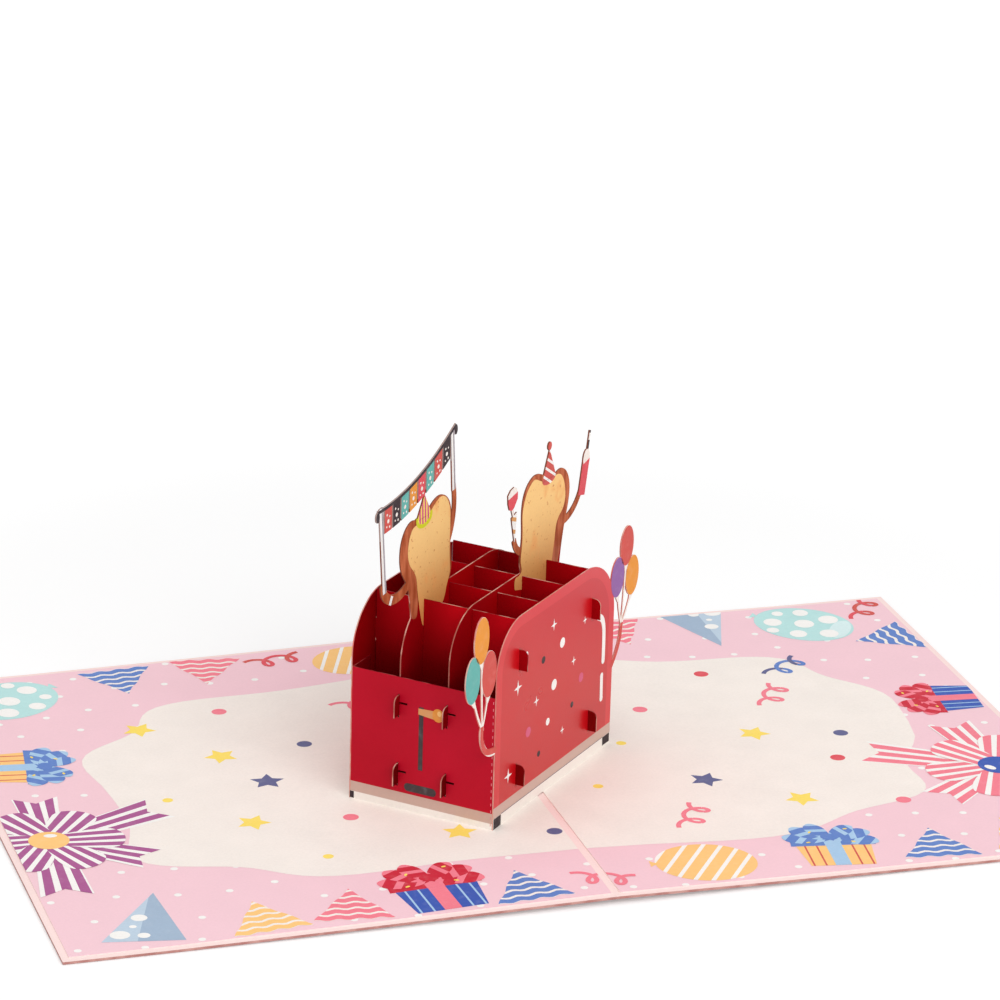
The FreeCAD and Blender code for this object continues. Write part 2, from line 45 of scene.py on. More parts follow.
# The box: its front corner on top of the fold, its turn, its sides, and its paper.
CORNER = Vector((-20.0, -46.8, 2.45))
TURN = math.radians(45.0)
ALONG = Vector((math.cos(TURN), math.sin(TURN), 0.0))
INWARD = Vector((-math.sin(TURN), math.cos(TURN), 0.0))
UP = Vector((0.0, 0.0, 1.0))
LENGTH, DEPTH, PAPER = 71.2, 45.0, 0.35
PANEL_TOP, WALL_TOP = 58.4, 38.6
LEFT_ROUND, RIGHT_ROUND = 14.2, 18.0

# Places on the standing sheets, along the box and above the fold, as they are cut.
CORD_LEFT, CORD_RIGHT, CORD_SAG, CORD_WIDTH = (-14.1, 90.8), (29.3, 102.9), 3.2, 1.1
KNOT_DROP = 1.4
FIRST_FLAG, FLAG_PITCH, FLAG_WIDTH, FLAG_DROP = -10.4, 4.65, 4.0, 7.2
POLES = (((-12.5, 91.6), (-9.6, 66.2)), ((27.3, 101.6), (28.9, 84.0)))
BALLOON_WIDTH, STEM_WIDTH = 8.4, 1.8
LEFT_BALLOONS = ((-9.4, 58.8), (-14.0, 48.8), (-4.6, 47.6))
RIGHT_BALLOONS = ((LENGTH + 7.0, 57.6), (LENGTH + 1.6, 49.7), (LENGTH + 11.0, 47.4))
LEFT_STEM = ((-8.0, 33.4), (-7.9, 29.0), (-5.2, 25.0), (0.8, 23.6))
RIGHT_STEM = ((LENGTH + 5.2, 34.8), (LENGTH + 4.4, 30.4), (LENGTH + 2.2, 26.4), (LENGTH - 0.8, 23.2))
CANDLE_FOOT, CANDLE_TOP, CANDLE_WIDTH = (LENGTH + 6.6, 70.0), (LENGTH + 9.1, 80.2), 4.2
WICK_TOP, WICK_WIDTH = (LENGTH + 10.9, 88.2), 0.9
LOLLIPOP = (
    (-35.2, 85.5), (-33.7, 84.8), (-33.0, 83.4), (-33.0, 81.5), (-35.1, 79.3), (-36.3, 78.9),
    (-37.7, 79.4), (-38.5, 81.2), (-38.8, 83.9), (-37.2, 85.1),
)
CONE = ((-34.2, 68.6), (-36.4, 76.6), (-33.2, 77.6))
LEFT_HAT = ((7.8, 81.3), (16.2, 81.3), (12.0, 87.9))
RIGHT_HAT = ((52.8, 81.3), (61.2, 81.3), (57.0, 90.1))
POMPOM = (57.0, 91.1)

# Crumb of the two slices, and the crust that runs on below the top of their slats.
LEFT_CRUMB = (
    (8.3, 80.4), (5.9, 80.1), (4.2, 78.4), (3.3, 75.8), (3.2, 72.7), (4.5, 69.6), (6.7, 67.2),
    (8.3, 64.6), (9.0, 61.0), (9.8, 57.5), (10.9, 53.4), (12.2, 50.0), (13.6, 49.4), (18.0, 50.4),
    (23.4, 52.4), (25.0, 54.4), (26.0, 57.0), (27.5, 60.0), (27.6, 62.2), (27.2, 66.0), (27.1, 70.0),
    (27.2, 75.0), (26.9, 79.0), (25.6, 82.0), (23.5, 83.9), (20.8, 84.4), (18.0, 83.4), (15.4, 81.9),
    (13.0, 80.6),
)
LEFT_FOOT = ((5.1, 58.8), (5.5, 56.0), (6.1, 53.9), (7.2, 53.2), (8.9, 53.4), (9.5, 57.0), (9.3, 58.9))
RIGHT_CRUMB = (
    (-22.9, 83.8), (-25.6, 82.8), (-28.0, 80.6), (-29.5, 77.4), (-29.8, 74.5), (-29.5, 71.5),
    (-29.4, 68.5), (-29.7, 65.5), (-30.1, 62.0), (-29.3, 59.0), (-31.0, 58.0), (-33.2, 57.6),
    (-33.3, 54.8), (-31.2, 53.8), (-22.0, 51.6), (-14.0, 50.6), (-11.4, 52.4), (-10.6, 57.0),
    (-9.7, 61.4), (-8.9, 65.8), (-7.4, 68.0), (-4.9, 69.8), (-3.7, 72.5), (-4.0, 75.9), (-5.2, 78.7),
    (-7.1, 80.6), (-9.4, 81.2), (-11.6, 80.9), (-16.1, 80.8), (-19.5, 82.4),
)
RIGHT_FOOT = (
    (-13.0, 58.9), (-12.6, 53.0), (-10.6, 51.6), (-8.4, 52.0), (-7.3, 53.6), (-6.4, 56.6), (-6.0, 58.9),
)

# Colours as they look on a screen.
INKS = {
    "cream": (248, 239, 231),
    "white": (250, 247, 243),
    "rose": (246, 130, 146),
    "red": (226, 84, 94),
    "deep_red": (206, 42, 62),
    "yellow": (255, 226, 104),
    "orange": (255, 203, 128),
    "navy": (98, 100, 142),
    "blue": (98, 132, 200),
    "sky": (170, 204, 234),
    "royal": (60, 92, 178),
    "teal": (188, 228, 226),
    "aqua": (218, 240, 240),
    "purple": (172, 90, 146),
    "dusk": (164, 184, 206),
    "mist": (192, 210, 226),
    "coral": (212, 88, 80),
    "jade": (104, 182, 174),
    "violet": (150, 104, 168),
    "tangerine": (236, 154, 62),
    "black": (58, 46, 50),
    "charcoal": (70, 58, 60),
    "grey": (196, 190, 196),
    "smoke": (126, 116, 124),
    "pink": (218, 102, 134),
    "lime": (214, 212, 36),
    "tan": (222, 160, 100),
    "blush": (224, 132, 142),
}


def linear(red, green, blue):
    """Return a colour, given as on a screen from 0 to 255, as light."""
    shares = [channel / 255 for channel in (red, green, blue)]
    return tuple(s / 12.92 if s <= 0.04045 else ((s + 0.055) / 1.055) ** 2.4 for s in shares) + (1.0,)


# Materials


class Field:
    """A number in a material's nodes. Sums, products and steps of fields become nodes."""

    def __init__(self, tree, socket):
        self.tree, self.socket = tree, socket

    def math(self, operation, *others):
        node = self.tree.nodes.new("ShaderNodeMath")
        node.operation = operation
        for index, value in enumerate((self,) + others):
            if isinstance(value, Field):
                self.tree.links.new(value.socket, node.inputs[index])
            else:
                node.inputs[index].default_value = value
        return Field(self.tree, node.outputs[0])

    def __add__(self, other):
        return self.math("ADD", other)

    def __sub__(self, other):
        return self.math("SUBTRACT", other)

    def __mul__(self, other):
        return self.math("MULTIPLY", other)

    def size(self):
        return self.math("ABSOLUTE")

    def larger(self, other):
        return self.math("MAXIMUM", other)

    def smaller(self, other):
        return self.math("MINIMUM", other)

    def step(self, low, high):
        """Rise smoothly from 0 at low to 1 at high."""
        node = self.tree.nodes.new("ShaderNodeMapRange")
        node.interpolation_type = "SMOOTHSTEP"
        node.inputs["From Min"].default_value = low
        node.inputs["From Max"].default_value = high
        self.tree.links.new(self.socket, node.inputs["Value"])
        return Field(self.tree, node.outputs["Result"])


def mix(tree, mask, first, second):
    """Return the first colour where a mask is 0 and the second where it is 1."""
    node = tree.nodes.new("ShaderNodeMix")
    node.data_type = "RGBA"
    tree.links.new(mask.socket, node.inputs["Factor"])
    for name, colour in (("A", first), ("B", second)):
        socket = [entry for entry in node.inputs if entry.name == name and entry.type == "RGBA"][0]
        if isinstance(colour, tuple):
            socket.default_value = colour
        else:
            tree.links.new(colour, socket)
    return [entry for entry in node.outputs if entry.type == "RGBA"][0]


def noise(tree, scale, detail=3.0, stretch=(1.0, 1.0, 1.0)):
    """Return noise in object space. Scale is in waves a metre."""
    place = tree.nodes.new("ShaderNodeTexCoord")
    mapping = tree.nodes.new("ShaderNodeMapping")
    mapping.inputs["Scale"].default_value = stretch
    node = tree.nodes.new("ShaderNodeTexNoise")
    node.inputs["Scale"].default_value = scale
    node.inputs["Detail"].default_value = detail
    tree.links.new(place.outputs["Object"], mapping.inputs["Vector"])
    tree.links.new(mapping.outputs["Vector"], node.inputs["Vector"])
    return Field(tree, node.outputs["Fac"])


def make_grain():
    """Make the grain that all papers share: it mottles a colour, its gloss and its surface."""
    tree = bpy.data.node_groups.new("paper_grain", "ShaderNodeTree")
    colour, number, direction = "NodeSocketColor", "NodeSocketFloat", "NodeSocketVector"
    takes = (("Color", colour), ("Mottle", number), ("Roughness", number))
    gives = (("Color", colour), ("Roughness", number), ("Normal", direction))
    for way, sockets in (("INPUT", takes), ("OUTPUT", gives)):
        for name, kind in sockets:
            tree.interface.new_socket(name, in_out=way, socket_type=kind)
    entry = tree.nodes.new("NodeGroupInput")
    result = tree.nodes.new("NodeGroupOutput")
    mottle = Field(tree, entry.outputs["Mottle"])
    fibres = noise(tree, 1500.0, 4.0)
    clouds = noise(tree, 70.0, 2.0)
    value = ((fibres - 0.5) * 1.3 + (clouds - 0.5)) * mottle + 1.0
    tone = tree.nodes.new("ShaderNodeHueSaturation")
    tree.links.new(value.socket, tone.inputs["Value"])
    tree.links.new(entry.outputs["Color"], tone.inputs["Color"])
    gloss = Field(tree, entry.outputs["Roughness"]) + (clouds - 0.5) * 0.12
    bump = tree.nodes.new("ShaderNodeBump")
    bump.inputs["Strength"].default_value = 0.3
    bump.inputs["Distance"].default_value = 0.00005
    tree.links.new(fibres.socket, bump.inputs["Height"])
    tree.links.new(tone.outputs["Color"], result.inputs["Color"])
    tree.links.new(gloss.socket, result.inputs["Roughness"])
    tree.links.new(bump.outputs["Normal"], result.inputs["Normal"])
    return tree


GRAIN = make_grain()


def paper_material(name, paint, roughness=0.62, gloss=0.2, mottle=0.1):
    """Make a paper. Paint takes the node tree and returns the colour of each place."""
    material = bpy.data.materials.new(name)
    material.use_nodes = True
    tree = material.node_tree
    shader = tree.nodes["Principled BSDF"]
    shader.inputs["Specular IOR Level"].default_value = gloss
    grain = tree.nodes.new("ShaderNodeGroup")
    grain.node_tree = GRAIN
    grain.inputs["Mottle"].default_value = mottle
    grain.inputs["Roughness"].default_value = roughness
    tree.links.new(paint(tree), grain.inputs["Color"])
    tree.links.new(grain.outputs["Color"], shader.inputs["Base Color"])
    tree.links.new(grain.outputs["Roughness"], shader.inputs["Roughness"])
    tree.links.new(grain.outputs["Normal"], shader.inputs["Normal"])
    return material


def make_ink(name):
    """Make one printing ink, a little uneven where it soaks into the paper."""

    def paint(tree):
        full = linear(*INKS[name])
        thin = tuple(0.94 * channel + 0.06 for channel in full[:3]) + (1.0,)
        return mix(tree, noise(tree, 420.0, 5.0).step(0.45, 0.85), full, thin)

    return paper_material("ink_" + name, paint)


def box_fields(tree):
    """Return the place in the box: along its front, inward, and above the fold, in millimetres."""
    place = tree.nodes.new("ShaderNodeTexCoord")
    parts = tree.nodes.new("ShaderNodeSeparateXYZ")
    tree.links.new(place.outputs["Object"], parts.inputs["Vector"])
    x, y, z = (Field(tree, parts.outputs[axis]) * (1 / MM) for axis in "XYZ")
    x, y = x - CORNER.x, y - CORNER.y
    return x * ALONG.x + y * ALONG.y, x * INWARD.x + y * INWARD.y, z - CORNER.z


def faces(tree, axis):
    """Return 1 on faces that are square to an axis and look along it, and -1 on the opposite ones."""
    geometry = tree.nodes.new("ShaderNodeNewGeometry")
    dot = tree.nodes.new("ShaderNodeVectorMath")
    dot.operation = "DOT_PRODUCT"
    dot.inputs[1].default_value = axis
    tree.links.new(geometry.outputs["True Normal"], dot.inputs[0])
    return Field(tree, dot.outputs["Value"])


def square_to(tree, axis):
    """Return 1 on both faces of a sheet that is square to an axis, and 0 on its edges."""
    return faces(tree, axis).size().step(0.6, 0.8)


def cut_edge(tree, inked, bare=(214, 158, 142)):
    """Return the colour of a cut edge: bare paper in places, and the ink's colour in others."""
    return mix(tree, noise(tree, 160.0, 2.0).step(0.42, 0.6), linear(*inked), linear(*bare))


def crust_paint(tree):
    """Brown crust, in streaks that run up and down."""
    streak = noise(tree, 520.0, 4.0, (1.0, 1.0, 0.22))
    return mix(tree, streak.step(0.35, 0.7), linear(164, 76, 42), linear(206, 116, 78))


def crumb_paint(tree):
    """Toasted crumb: paler towards the top, with small brown pores and blushes."""
    height = box_fields(tree)[2]
    blush = noise(tree, 130.0, 3.0)
    body = mix(tree, height.step(48.0, 78.0), linear(232, 160, 88), linear(255, 208, 136))
    body = mix(tree, blush.step(0.52, 0.75), body, linear(248, 176, 104))
    pores = noise(tree, 900.0, 2.0)
    return mix(tree, pores.step(0.64, 0.72) * 0.7, body, linear(206, 120, 62))


def cover_paint(tree):
    level = faces(tree, UP)
    top = level.step(0.6, 0.8)
    under = level.step(-0.6, -0.8)
    # The board's cut edge: its brownish core, darkened further with painted shade.
    shaded_rim = mix(tree, noise(tree, 240.0, 3.0).step(0.35, 0.7), linear(182, 124, 118), linear(206, 156, 148))
    return mix(tree, top, mix(tree, under, shaded_rim, linear(246, 228, 226)), linear(252, 226, 222))


def liner_paint(tree):
    top = faces(tree, UP).step(0.6, 0.8)
    return mix(tree, top, linear(252, 232, 228), linear(247, 206, 215))


BARE, TAUPE = linear(248, 240, 232), linear(206, 173, 160)


def foot_bands(tree, height, colour, band, bare):
    """Print the two bands at the foot of a sheet: a taupe one, and bare paper below it."""
    colour = mix(tree, height.step(band, band - 0.1), colour, TAUPE)
    return mix(tree, height.step(bare, bare - 0.1), colour, BARE)


def outer_face(tree, place, length, outside, shaded_inside):
    """Use one colour on the outer face of a sheet, and another on its inner one."""
    middle = (place - length / 2).size()
    return mix(tree, middle.step(length / 2 - PAPER / 3, length / 2 - PAPER / 4), shaded_inside, outside)


def bare_feet(tree, height, colour):
    """Leave the foot flaps, which lie on the liners, bare."""
    return mix(tree, square_to(tree, UP) * height.step(2.0, 1.0), colour, BARE)


def panel_paint(tree):
    """Front and back panel: glossy red with a lighter border and bands at the foot; the inner face dark red,
    darkened towards the bottom with painted shade.
    """
    along, inward, height = box_fields(tree)
    radius = along.step(LENGTH / 2 - 0.1, LENGTH / 2 + 0.1) * (RIGHT_ROUND - LEFT_ROUND) + LEFT_ROUND
    across = (along - LENGTH / 2).size() - LENGTH / 2 + radius
    above = height - PANEL_TOP + radius
    corner = (across.larger(0.0) * across.larger(0.0) + above.larger(0.0) * above.larger(0.0)).math("SQRT")
    depth = corner + across.larger(above).smaller(0.0) - radius
    field = mix(tree, height.step(34.0, 4.0), linear(204, 16, 26), linear(198, 8, 20))
    outside = mix(tree, depth.step(-3.3, -3.0), field, linear(216, 38, 46))
    outside = foot_bands(tree, height, outside, 6.1, 3.0)
    # Painted shade: the inner face darkens towards the bottom of the box.
    shaded_inside = mix(tree, height.step(6.0, 56.0), linear(122, 0, 2), linear(150, 2, 8))
    colour = outer_face(tree, inward, DEPTH, outside, shaded_inside)
    beyond = (along - LENGTH / 2).size().step(LENGTH / 2, LENGTH / 2 + 0.05)
    colour = mix(tree, beyond, colour, BARE)
    sheet = square_to(tree, INWARD)
    return bare_feet(tree, height, mix(tree, sheet, cut_edge(tree, (214, 110, 100)), colour))


def wall_paint(tree):
    """Side walls: crimson with bands at the foot; the inner face dark red, darkened towards the bottom with
    painted shade.
    """
    along, _, height = box_fields(tree)
    outside = mix(tree, noise(tree, 26.0, 2.0).step(0.3, 0.7), linear(184, 4, 34), linear(194, 10, 42))
    outside = foot_bands(tree, height, outside, 4.6, 1.6)
    # Painted shade: the inner face darkens towards the bottom of the box.
    shaded_inside = mix(tree, height.step(4.0, 38.0), linear(96, 2, 6), linear(128, 4, 10))
    colour = outer_face(tree, along, LENGTH, outside, shaded_inside)
    sheet = square_to(tree, ALONG).larger(square_to(tree, INWARD))
    return bare_feet(tree, height, mix(tree, sheet, cut_edge(tree, (120, 14, 22), (176, 78, 76)), colour))


def long_slat_paint(tree):
    """Long slats: red paper, and the crust's brown on what stands above them. Near the left end the red
    darkens towards the bottom with painted shade.
    """
    along, _, height = box_fields(tree)
    # Painted shade: near the left end the slats darken towards the bottom of the box.
    shaded_open_end = mix(tree, height.step(6.0, 56.0), linear(98, 0, 2), linear(154, 0, 10))
    red = mix(tree, along.step(6.0, 30.0), shaded_open_end, linear(176, 0, 8))
    colour = mix(tree, height.step(PANEL_TOP - 0.05, PANEL_TOP + 0.05), red, crust_paint(tree))
    cord = (height - along * 0.28).step(85.4, 85.6) * along.step(31.6, 31.4)
    colour = mix(tree, cord, colour, linear(214, 200, 196))
    edge = mix(tree, height.step(60.0, 62.0), cut_edge(tree, (170, 96, 84)), linear(126, 70, 52))
    edge = mix(tree, cord, edge, linear(168, 140, 132))
    return mix(tree, square_to(tree, INWARD), edge, colour)


def cross_slat_paint(tree):
    """Cross slats: crimson with painted light and shade: each cell is lighter near its front and top, and
    darkens to a very dark red towards its back and bottom.
    """
    _, inward, height = box_fields(tree)
    cell = (inward * (3 / DEPTH)).math("FRACT")
    # Painted light and shade: brighter near the front of each cell and higher up, darker at its back and
    # bottom.
    glow = (cell.step(1.0, 0.0) * 0.6 + 0.4) * height.step(20.0, 58.0)
    colour = mix(tree, glow, linear(116, 0, 2), linear(206, 0, 20))
    return mix(tree, square_to(tree, ALONG), cut_edge(tree, (134, 20, 26)), colour)


# Flat shapes, drawn in the plane


def settle(shape, middle=(0.0, 0.0), turn=0.0, grow=1.0):
    """Grow, turn and move a flat shape, and let its faces look up."""
    wide, high = grow if isinstance(grow, tuple) else (grow, grow)
    shape.transform(Matrix.Translation((*middle, 0.0)) @ Matrix.Rotation(math.radians(turn), 4, "Z")
                    @ Matrix.Diagonal((wide, high, 1.0, 1.0)))
    shape.normal_update()
    bmesh.ops.reverse_faces(shape, faces=[face for face in shape.faces if face.normal.z < 0])
    return shape


def disc(middle, width, height=None, turn=0.0, steps=32):
    """Return an oval."""
    shape = bmesh.new()
    bmesh.ops.create_circle(shape, cap_ends=True, segments=steps, radius=0.5)
    return settle(shape, middle, turn, (width, height or width))


def star(middle, radius, turn=0.0, points=5, waist=0.5):
    """Return a star, made by pulling in every other corner of a disc."""
    shape = bmesh.new()
    bmesh.ops.create_circle(shape, cap_ends=True, segments=2 * points, radius=radius)
    bmesh.ops.scale(shape, vec=(waist, waist, 1.0), verts=list(shape.verts)[1::2])
    return settle(shape, middle, turn)


def cutout(corners):
    """Return the shape inside a closed outline."""
    shape = bmesh.new()
    shape.faces.new([shape.verts.new((x, y, 0.0)) for x, y in corners])
    return settle(shape)


def box_shape(left, bottom, right, top):
    return cutout([(left, bottom), (right, bottom), (right, top), (left, top)])


def smooth_line(points, closed=False, steps=6):
    """Return points of a smooth curve through the given ones."""
    count = len(points)
    line = []
    for index in range(count if closed else count - 1):
        if closed:
            a, b, c, d = (points[(index + shift) % count] for shift in (-1, 0, 1, 2))
        else:
            a, b, c, d = (points[min(max(index + shift, 0), count - 1)] for shift in (-1, 0, 1, 2))
        for step in range(steps):
            s = step / steps
            weights = (-0.5 * s + s * s - 0.5 * s ** 3, 1 - 2.5 * s * s + 1.5 * s ** 3,
                       0.5 * s + 2 * s * s - 1.5 * s ** 3, -0.5 * s * s + 0.5 * s ** 3)
            line.append(tuple(sum(w * p[axis] for w, p in zip(weights, (a, b, c, d))) for axis in (0, 1)))
    return line if closed else line + [tuple(points[-1])]


def strip(route, width):
    """Return a ribbon: a short edge swept along a route."""
    shape = bmesh.new()
    last = len(route) - 1
    ends = edge = None
    for index, spot in enumerate(route):
        ahead, behind = Vector(route[min(index + 1, last)]), Vector(route[max(index - 1, 0)])
        along = (ahead - behind).normalized()
        aside = Vector((-along.y, along.x, 0.0)) * width / 2
        if edge is None:
            ends = [shape.verts.new(), shape.verts.new()]
            edge = shape.edges.new(ends)
        else:
            swept = bmesh.ops.extrude_edge_only(shape, edges=[edge])["geom"]
            twins = [thing for thing in swept if isinstance(thing, bmesh.types.BMVert)]
            ends = sorted(twins, key=lambda vert: (vert.co - ends[0].co).length)
            sides = [thing for thing in swept if isinstance(thing, bmesh.types.BMEdge)]
            edge = [side for side in sides if set(side.verts) == set(ends)][0]
        for end, reach in zip(ends, (aside, -aside)):
            end.co = Vector((*spot, 0.0)) + reach
    return settle(shape)


def split(shape, spot, across, clear=False):
    """Cut a shape in two along a line through a spot. Clear takes away what lies beyond it."""
    everything = shape.verts[:] + shape.edges[:] + shape.faces[:]
    bmesh.ops.bisect_plane(shape, geom=everything, dist=1e-5, plane_co=(*spot, 0.0), plane_no=(*across, 0.0),
                           clear_outer=clear)


def two_tone(shape, spot, across):
    """Give a shape its second ink beyond a line through a spot."""
    split(shape, spot, across)
    for face in shape.faces:
        if (face.calc_center_median().xy - Vector(spot)).dot(Vector(across)) > 0:
            face.material_index = 1
    return shape


def striped(shape, turn, pitch, share, start=0.0):
    """Give a shape its second ink in even stripes, square to a turn."""
    across = Vector((math.cos(math.radians(turn)), math.sin(math.radians(turn))))
    reach = [vert.co.xy.dot(across) for vert in shape.verts]
    place = math.floor((min(reach) - start) / pitch) * pitch + start
    while place < max(reach):
        split(shape, across * place, across)
        split(shape, across * (place + pitch * share), across)
        place += pitch
    for face in shape.faces:
        if (face.calc_center_median().xy.dot(across) - start) % pitch < pitch * share:
            face.material_index = 1
    return shape


# Ink on paper


class Print:
    """Ink on one face of one sheet. Lay puts a flat shape on the paper at a height above it."""

    def __init__(self, name, slot, lay):
        self.name, self.slot, self.lay = name, slot, lay
        self.sheet = bmesh.new()
        self.inks = []

    def add(self, shape, inks, layer=1):
        """Print a shape. Where it has a second ink, inks names both."""
        names = inks if isinstance(inks, tuple) else (inks,)
        self.inks += [name for name in names if name not in self.inks]
        part = shape.copy()
        for face in part.faces:
            face.material_index = self.inks.index(names[min(face.material_index, len(names) - 1)])
        self.lay(part, LIFT + LAYER * layer)
        mesh = bpy.data.meshes.new("stamp")
        part.to_mesh(mesh)
        part.free()
        self.sheet.from_mesh(mesh)
        bpy.data.meshes.remove(mesh)

    def finish(self):
        mesh = bpy.data.meshes.new(self.name)
        bmesh.ops.triangulate(self.sheet, faces=self.sheet.faces[:])
        self.sheet.to_mesh(mesh)
        self.sheet.free()
        for ink in self.inks:
            mesh.materials.append(MATERIALS[ink])
        thing = bpy.data.objects.new(self.name, mesh)
        bpy.context.scene.collection.objects.link(thing)
        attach(thing, "root")


def liner_top(x):
    """Return the height of the liners' top at a distance from the fold."""
    for (near, near_top), (far, far_top) in zip(BENDS, BENDS[1:]):
        if abs(x) <= far:
            return near_top + (far_top - near_top) * (abs(x) - near) / (far - near)
    return BENDS[-1][1]


def on_liner(side):
    """Return the lay of the left liner, side -1, or the right one, side 1."""

    def lay(part, lift):
        for spot, across in (((side * LINER_IN, 0), (-side, 0)), ((side * LINER_OUT, 0), (side, 0)),
                             ((0, LINER_BACK), (0, 1)), ((0, -LINER_BACK), (0, -1))):
            split(part, spot, across, clear=True)
        for place, top in BENDS[1:3]:
            split(part, (side * place, 0), (1, 0))
        for vert in part.verts:
            vert.co.z = liner_top(vert.co.x) + lift
        part.transform(Matrix.Scale(MM, 4))

    return lay


def on_sheet(right, spot, side):
    """Return the lay of a standing sheet. Side is 1 where its face looks along right x up, else -1."""
    out = right.cross(UP)

    def lay(part, lift):
        place = Matrix((right, UP, out)).transposed().to_4x4()
        place.translation = CORNER + spot + out * (side * lift)
        part.transform(Matrix.Scale(MM, 4) @ place)
        if side < 0:
            bmesh.ops.reverse_faces(part, faces=part.faces[:])

    return lay


def both_faces(name, slot, middle):
    """Return the prints of both faces of a sheet that runs along the box."""
    return [Print(name + "_print", slot, on_sheet(ALONG, INWARD * (middle - PAPER / 2), 1)),
            Print(name + "_back_print", slot, on_sheet(ALONG, INWARD * (middle + PAPER / 2), -1))]


def put(prints, shape, inks, layer=1):
    """Print one shape on several faces."""
    for sheet in prints:
        sheet.add(shape, inks, layer)
    shape.free()


# What is printed on the liners


def streamer(halves, place, turn, ink, back, grow=1.0):
    """Print a looped paper streamer. Its ends show its other side, and each part lies on the last."""
    steps, parts = 48, 6
    route = []
    for step in range(steps + 1):
        turns = 2.1 * step / steps + 0.4
        angle = 2 * math.pi * turns
        route.append((7.6 * (turns - 1.45) - 2.8 * math.sin(angle), -3.1 * math.cos(angle)))
    for part in range(parts):
        first = part * steps // parts
        points = route[first:first + steps // parts + 1]
        colour = back if part in (0, parts - 1) else ink
        put(halves, settle(strip(points, 1.4), place, turn, grow), colour, 2 + part)


def rosette(halves, place, turn, ink, ball, grow=1.0):
    """Print a rosette of striped ribbon: notched tails and loops round a ball."""
    tails = ((2, 46, 18), (66, 36, 16), (128, 40, 17), (190, 36, 16), (246, 44, 18), (304, 38, 16))
    bend = [(0, -4), (13, -9), (23, -8), (26, 0), (22, 7.5), (12, 8), (0, 4)]
    for index, (angle, reach, width) in enumerate(tails):
        half, notch = width / 2, reach - width * 0.3
        tail = cutout([(0, -half), (reach, -half), (notch, 0), (reach, half), (0, half)])
        striped(tail, turn=90, pitch=width / 3, share=0.4, start=width * 0.13)
        for vert in tail.verts:
            vert.co.y *= 0.6 + 0.4 * vert.co.x / reach
        put(halves, settle(tail, place, turn + angle, grow), (ink, "white"), 2 + index)
    for index, angle in enumerate((34, 96, 158, 218, 276, 334)):
        loop = cutout(smooth_line(bend, True, 4))
        striped(loop, turn=90, pitch=5.2, share=0.4, start=1.0)
        for vert in loop.verts:
            vert.co.y *= 0.66 + 0.3 * vert.co.x / 24
        put(halves, settle(loop, place, turn + angle, grow), (ink, "white"), 8 + index)
    put(halves, settle(disc((0, 0), 14), place, turn, grow), ball, 14)
    put(halves, settle(disc((2.4, 2.9), 4.6, 2.8, -30, 18), place, turn, grow), "white", 15)


def balloon(halves, place, turn, ink, pale, grow=1.0):
    """Print a balloon: dotted, with a paler end, or striped where pale is None."""
    dots = ((-8, 6.6, 7.6), (4.4, 10.8, 7.2), (9.4, 1, 6.6), (-0.6, 0, 7.6),
            (-10, -4.4, 6), (3, -10.6, 7), (10.2, -8.2, 4.8), (-5.6, -11.6, 4.4))
    oval = disc((0, 0), 30, 36, steps=44)
    if pale is None:
        striped(oval, turn=62, pitch=5.8, share=0.26)
        put(halves, settle(oval, place, turn, grow), (ink, "white"), 2)
    else:
        put(halves, settle(oval, place, turn, grow), ink, 2)
        put(halves, settle(disc((-1.0, 13.2), 17, 7.4, 6), place, turn, grow), pale, 3)
        for x, y, wide in dots:
            put(halves, settle(disc((x, y), wide, wide * 0.94, 10, 20), place, turn, grow), "white", 4)
    put(halves, settle(cutout([(-2.4, -19.8), (2.4, -19.8), (0, -17.0)]), place, turn, grow), ink, 3)


def pennant(halves, place, turn, ink):
    """Print a small pennant with wavy stripes."""
    shape = cutout([(-9.8, -7.4), (9.8, -7.4), (0.6, 9.0)])
    striped(shape, 90, 3.1, 0.3, 1.2)
    for step in range(-9, 10):
        split(shape, (step, 0), (1, 0))
    for vert in shape.verts:
        vert.co.y += 0.42 * math.sin(1.25 * vert.co.x)
    put(halves, settle(shape, place, turn, 1.12), (ink, "cream"), 2)


def present(halves, place, turn, wrap, line, bow, light, grow=1.0):
    """Print a wrapped present: lined paper, a lid, a ribbon and a bow of layered loops."""
    body = striped(cutout([(-9.6, 0.4), (-8.2, -11.6), (8.2, -11.6), (9.6, 0.4)]), 0, 3.0, 0.16, 1.4)
    put(halves, settle(body, place, turn, grow), (wrap, line), 2)
    put(halves, settle(box_shape(-2.0, -11.6, 2.0, 0.4), place, turn, grow), light, 3)
    put(halves, settle(cutout([(-10.8, 0), (10.8, 0), (10.4, 3.8), (-10.4, 3.8)]), place, turn, grow), bow, 3)
    put(halves, settle(box_shape(-2.1, 0, 2.1, 3.8), place, turn, grow), light, 4)
    petal = ((0, 0), (3.0, 4.4), (8.2, 6.6), (11.4, 4.2), (8.6, 0.8), (3.4, -0.4))
    loops = ((-8, 1.0), (22, 0.95), (50, 0.84), (172, 1.0), (142, 0.95), (114, 0.84))
    for index, (angle, wide) in enumerate(loops):
        loop = striped(cutout(smooth_line(petal, True, 4)), turn=0, pitch=4.4, share=0.4, start=1.0)
        settle(loop, (0, 3.6), angle - 24, wide)
        put(halves, settle(loop, place, turn, grow), (bow, light), 5 + index % 3)
    put(halves, settle(disc((0, 5.0), 4.6, 3.8, 0, 20), place, turn, grow), bow, 8)
    for x, y, tilt in ((-6, 2.0, 20), (5.4, 1.8, -30), (-4.4, 8.0, 60), (5.0, 9.4, 15)):
        put(halves, settle(disc((x, y), 1.3, 0.7, tilt, 8), place, turn, grow), "yellow", 9)


